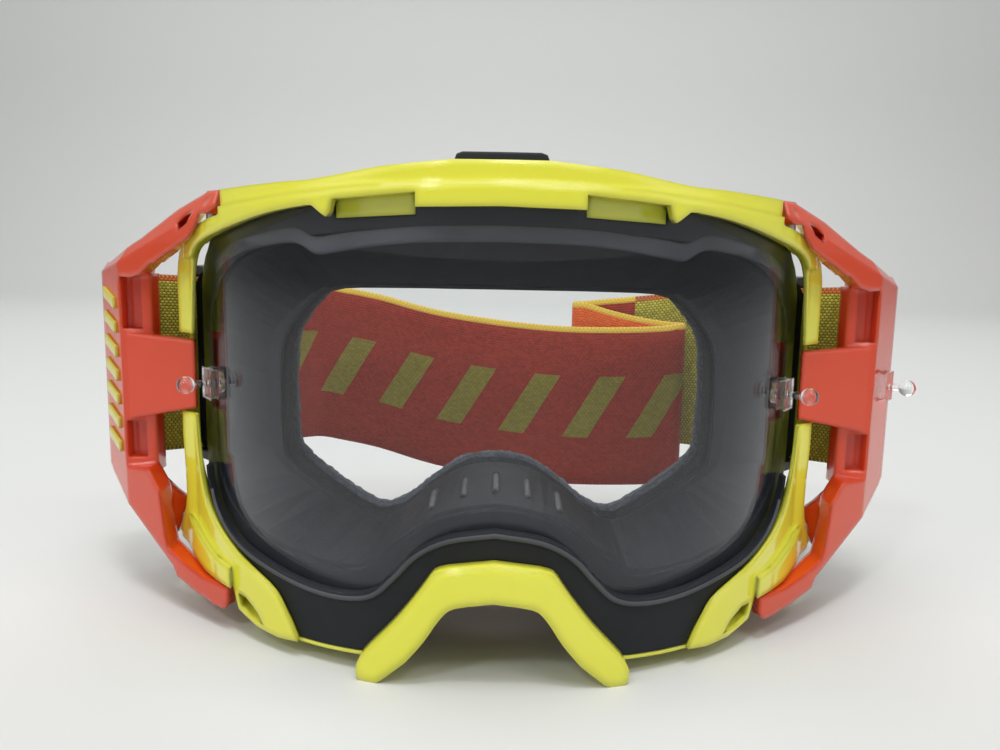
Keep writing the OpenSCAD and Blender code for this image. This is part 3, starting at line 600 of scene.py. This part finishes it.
END = run_point(RUN_L + REAR_GAP, -1)
REAR = catmull(
    [(-END.x, END.y, END.z), (-END.x + 4, END.y + 3.2, 56), (-50, REAR_Y + 12.6, 55), (-38, REAR_Y + 11, 53),
     (-20, REAR_Y + 6.5, 49), (0, REAR_Y + 3, 46.4), (20, REAR_Y + 1, 45), (40, REAR_Y + 0.2, 45.2),
     (52, REAR_Y, 46)]
    + fold(54, REAR_Y + PITCH / 2, 46.5, 1)
    + [(46, REAR_Y + PITCH, 47.5), (36, REAR_Y + PITCH + 0.4, 49.5)]
    + fold(27, REAR_Y + 1 + 1.5 * PITCH, 52, -1)
    + [(36, REAR_Y + 2 * PITCH + 1, 53), (46, REAR_Y + 2 * PITCH + 1, 54),
       (53, REAR_Y + 2 * PITCH + 0.2, 55), (END.x - 3, END.y + 2.6, 56), tuple(END)], 4)
# Places in REAR: the middle of the back, and the tightest point of the second fold
MIDDLE, SPLIT = 20, 84


def strap_section():
    """Points round the webbing's section: out of the wearer's face, up, and UV y from the bottom to
    the top of a face. Returned with the range of the outer face's indices."""
    n_across, n_edge = 10, 3
    half_t, half_w = STRAP_T / 2, STRAP_W / 2
    flat, core = STRAP_W - STRAP_T, half_w - half_t
    round_edge = [(math.cos(math.pi * k / n_edge), math.sin(math.pi * k / n_edge)) for k in range(1, n_edge)]
    section = [(half_t, -core + flat * k / n_across, k / n_across) for k in range(n_across + 1)]
    section += [(half_t * c, core + half_t * s, 1.0) for c, s in round_edge]
    section += [(-half_t, core - flat * k / n_across, 1 - k / n_across) for k in range(n_across + 1)]
    section += [(-half_t * c, -core - half_t * s, 0.0) for c, s in round_edge]
    return section, range(n_across + n_edge, 2 * n_across + n_edge + 1)


def ribbon(name, route, distances):
    """Webbing on edge along a route, with rounded selvedges, and UVs in strap widths."""
    section, outer_face = strap_section()
    m, last = len(section), len(route) - 1
    verts = []
    for i, p in enumerate(route):
        q = route[min(i + 1, last)] - route[max(i - 1, 0)]
        t = Vector((q.x, q.y, 0)).normalized()
        out = Vector((t.y, -t.x, 0))
        verts += [tuple(world(*(p + out * a + Vector((0, 0, b))))) for a, b, _ in section]
    faces = [(i * m + j, i * m + (j + 1) % m, (i + 1) * m + (j + 1) % m, (i + 1) * m + j)
             for i in range(last) for j in range(m)]
    faces += [tuple(range(m - 1, -1, -1)), tuple(last * m + j for j in range(m))]
    o = add(name, verts, faces, strap_mat)
    bm = bmesh.new()
    bm.from_mesh(o.data)
    layer = bm.loops.layers.uv.new("UVMap")
    for f in bm.faces:
        outside = all(loop.vert.index % m in outer_face for loop in f.loops)
        for loop in f.loops:
            i, j = divmod(loop.vert.index, m)
            loop[layer].uv = (distances[i] / STRAP_W, section[j][2] + (0.0 if outside else 2.0))
    bmesh.ops.recalc_face_normals(bm, faces=bm.faces)
    bm.to_mesh(o.data)
    bm.free()
    return o


# One line of webbing from the left tail round both bars to the right tail. It is split inside a fold at the
# back, into a left and a right piece.
left_side = [Vector((-p.x, p.y, p.z)) for p in side_route()]
line = left_side + REAR[1:-1] + list(reversed(side_route()))
measured = [0.0]
for a, b in zip(line, line[1:]):
    measured.append(measured[-1] + (b - a).length)
rear_start = len(left_side) - 1
measured = [d - measured[rear_start + MIDDLE] for d in measured]
cut = rear_start + SPLIT
for name, first, last, body, side, carrier, names in (
        ("strap_web_left", 0, cut + 1, LEFT, -1, "outrigger_left", ("strap_left", "strap_rear")),
        ("strap_web_right", cut, len(line), RIGHT, 1, "outrigger_right", ("strap_right",))):
    piece = ribbon(name, line[first:last], measured[first:last])
    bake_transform(piece)
    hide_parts(*names)
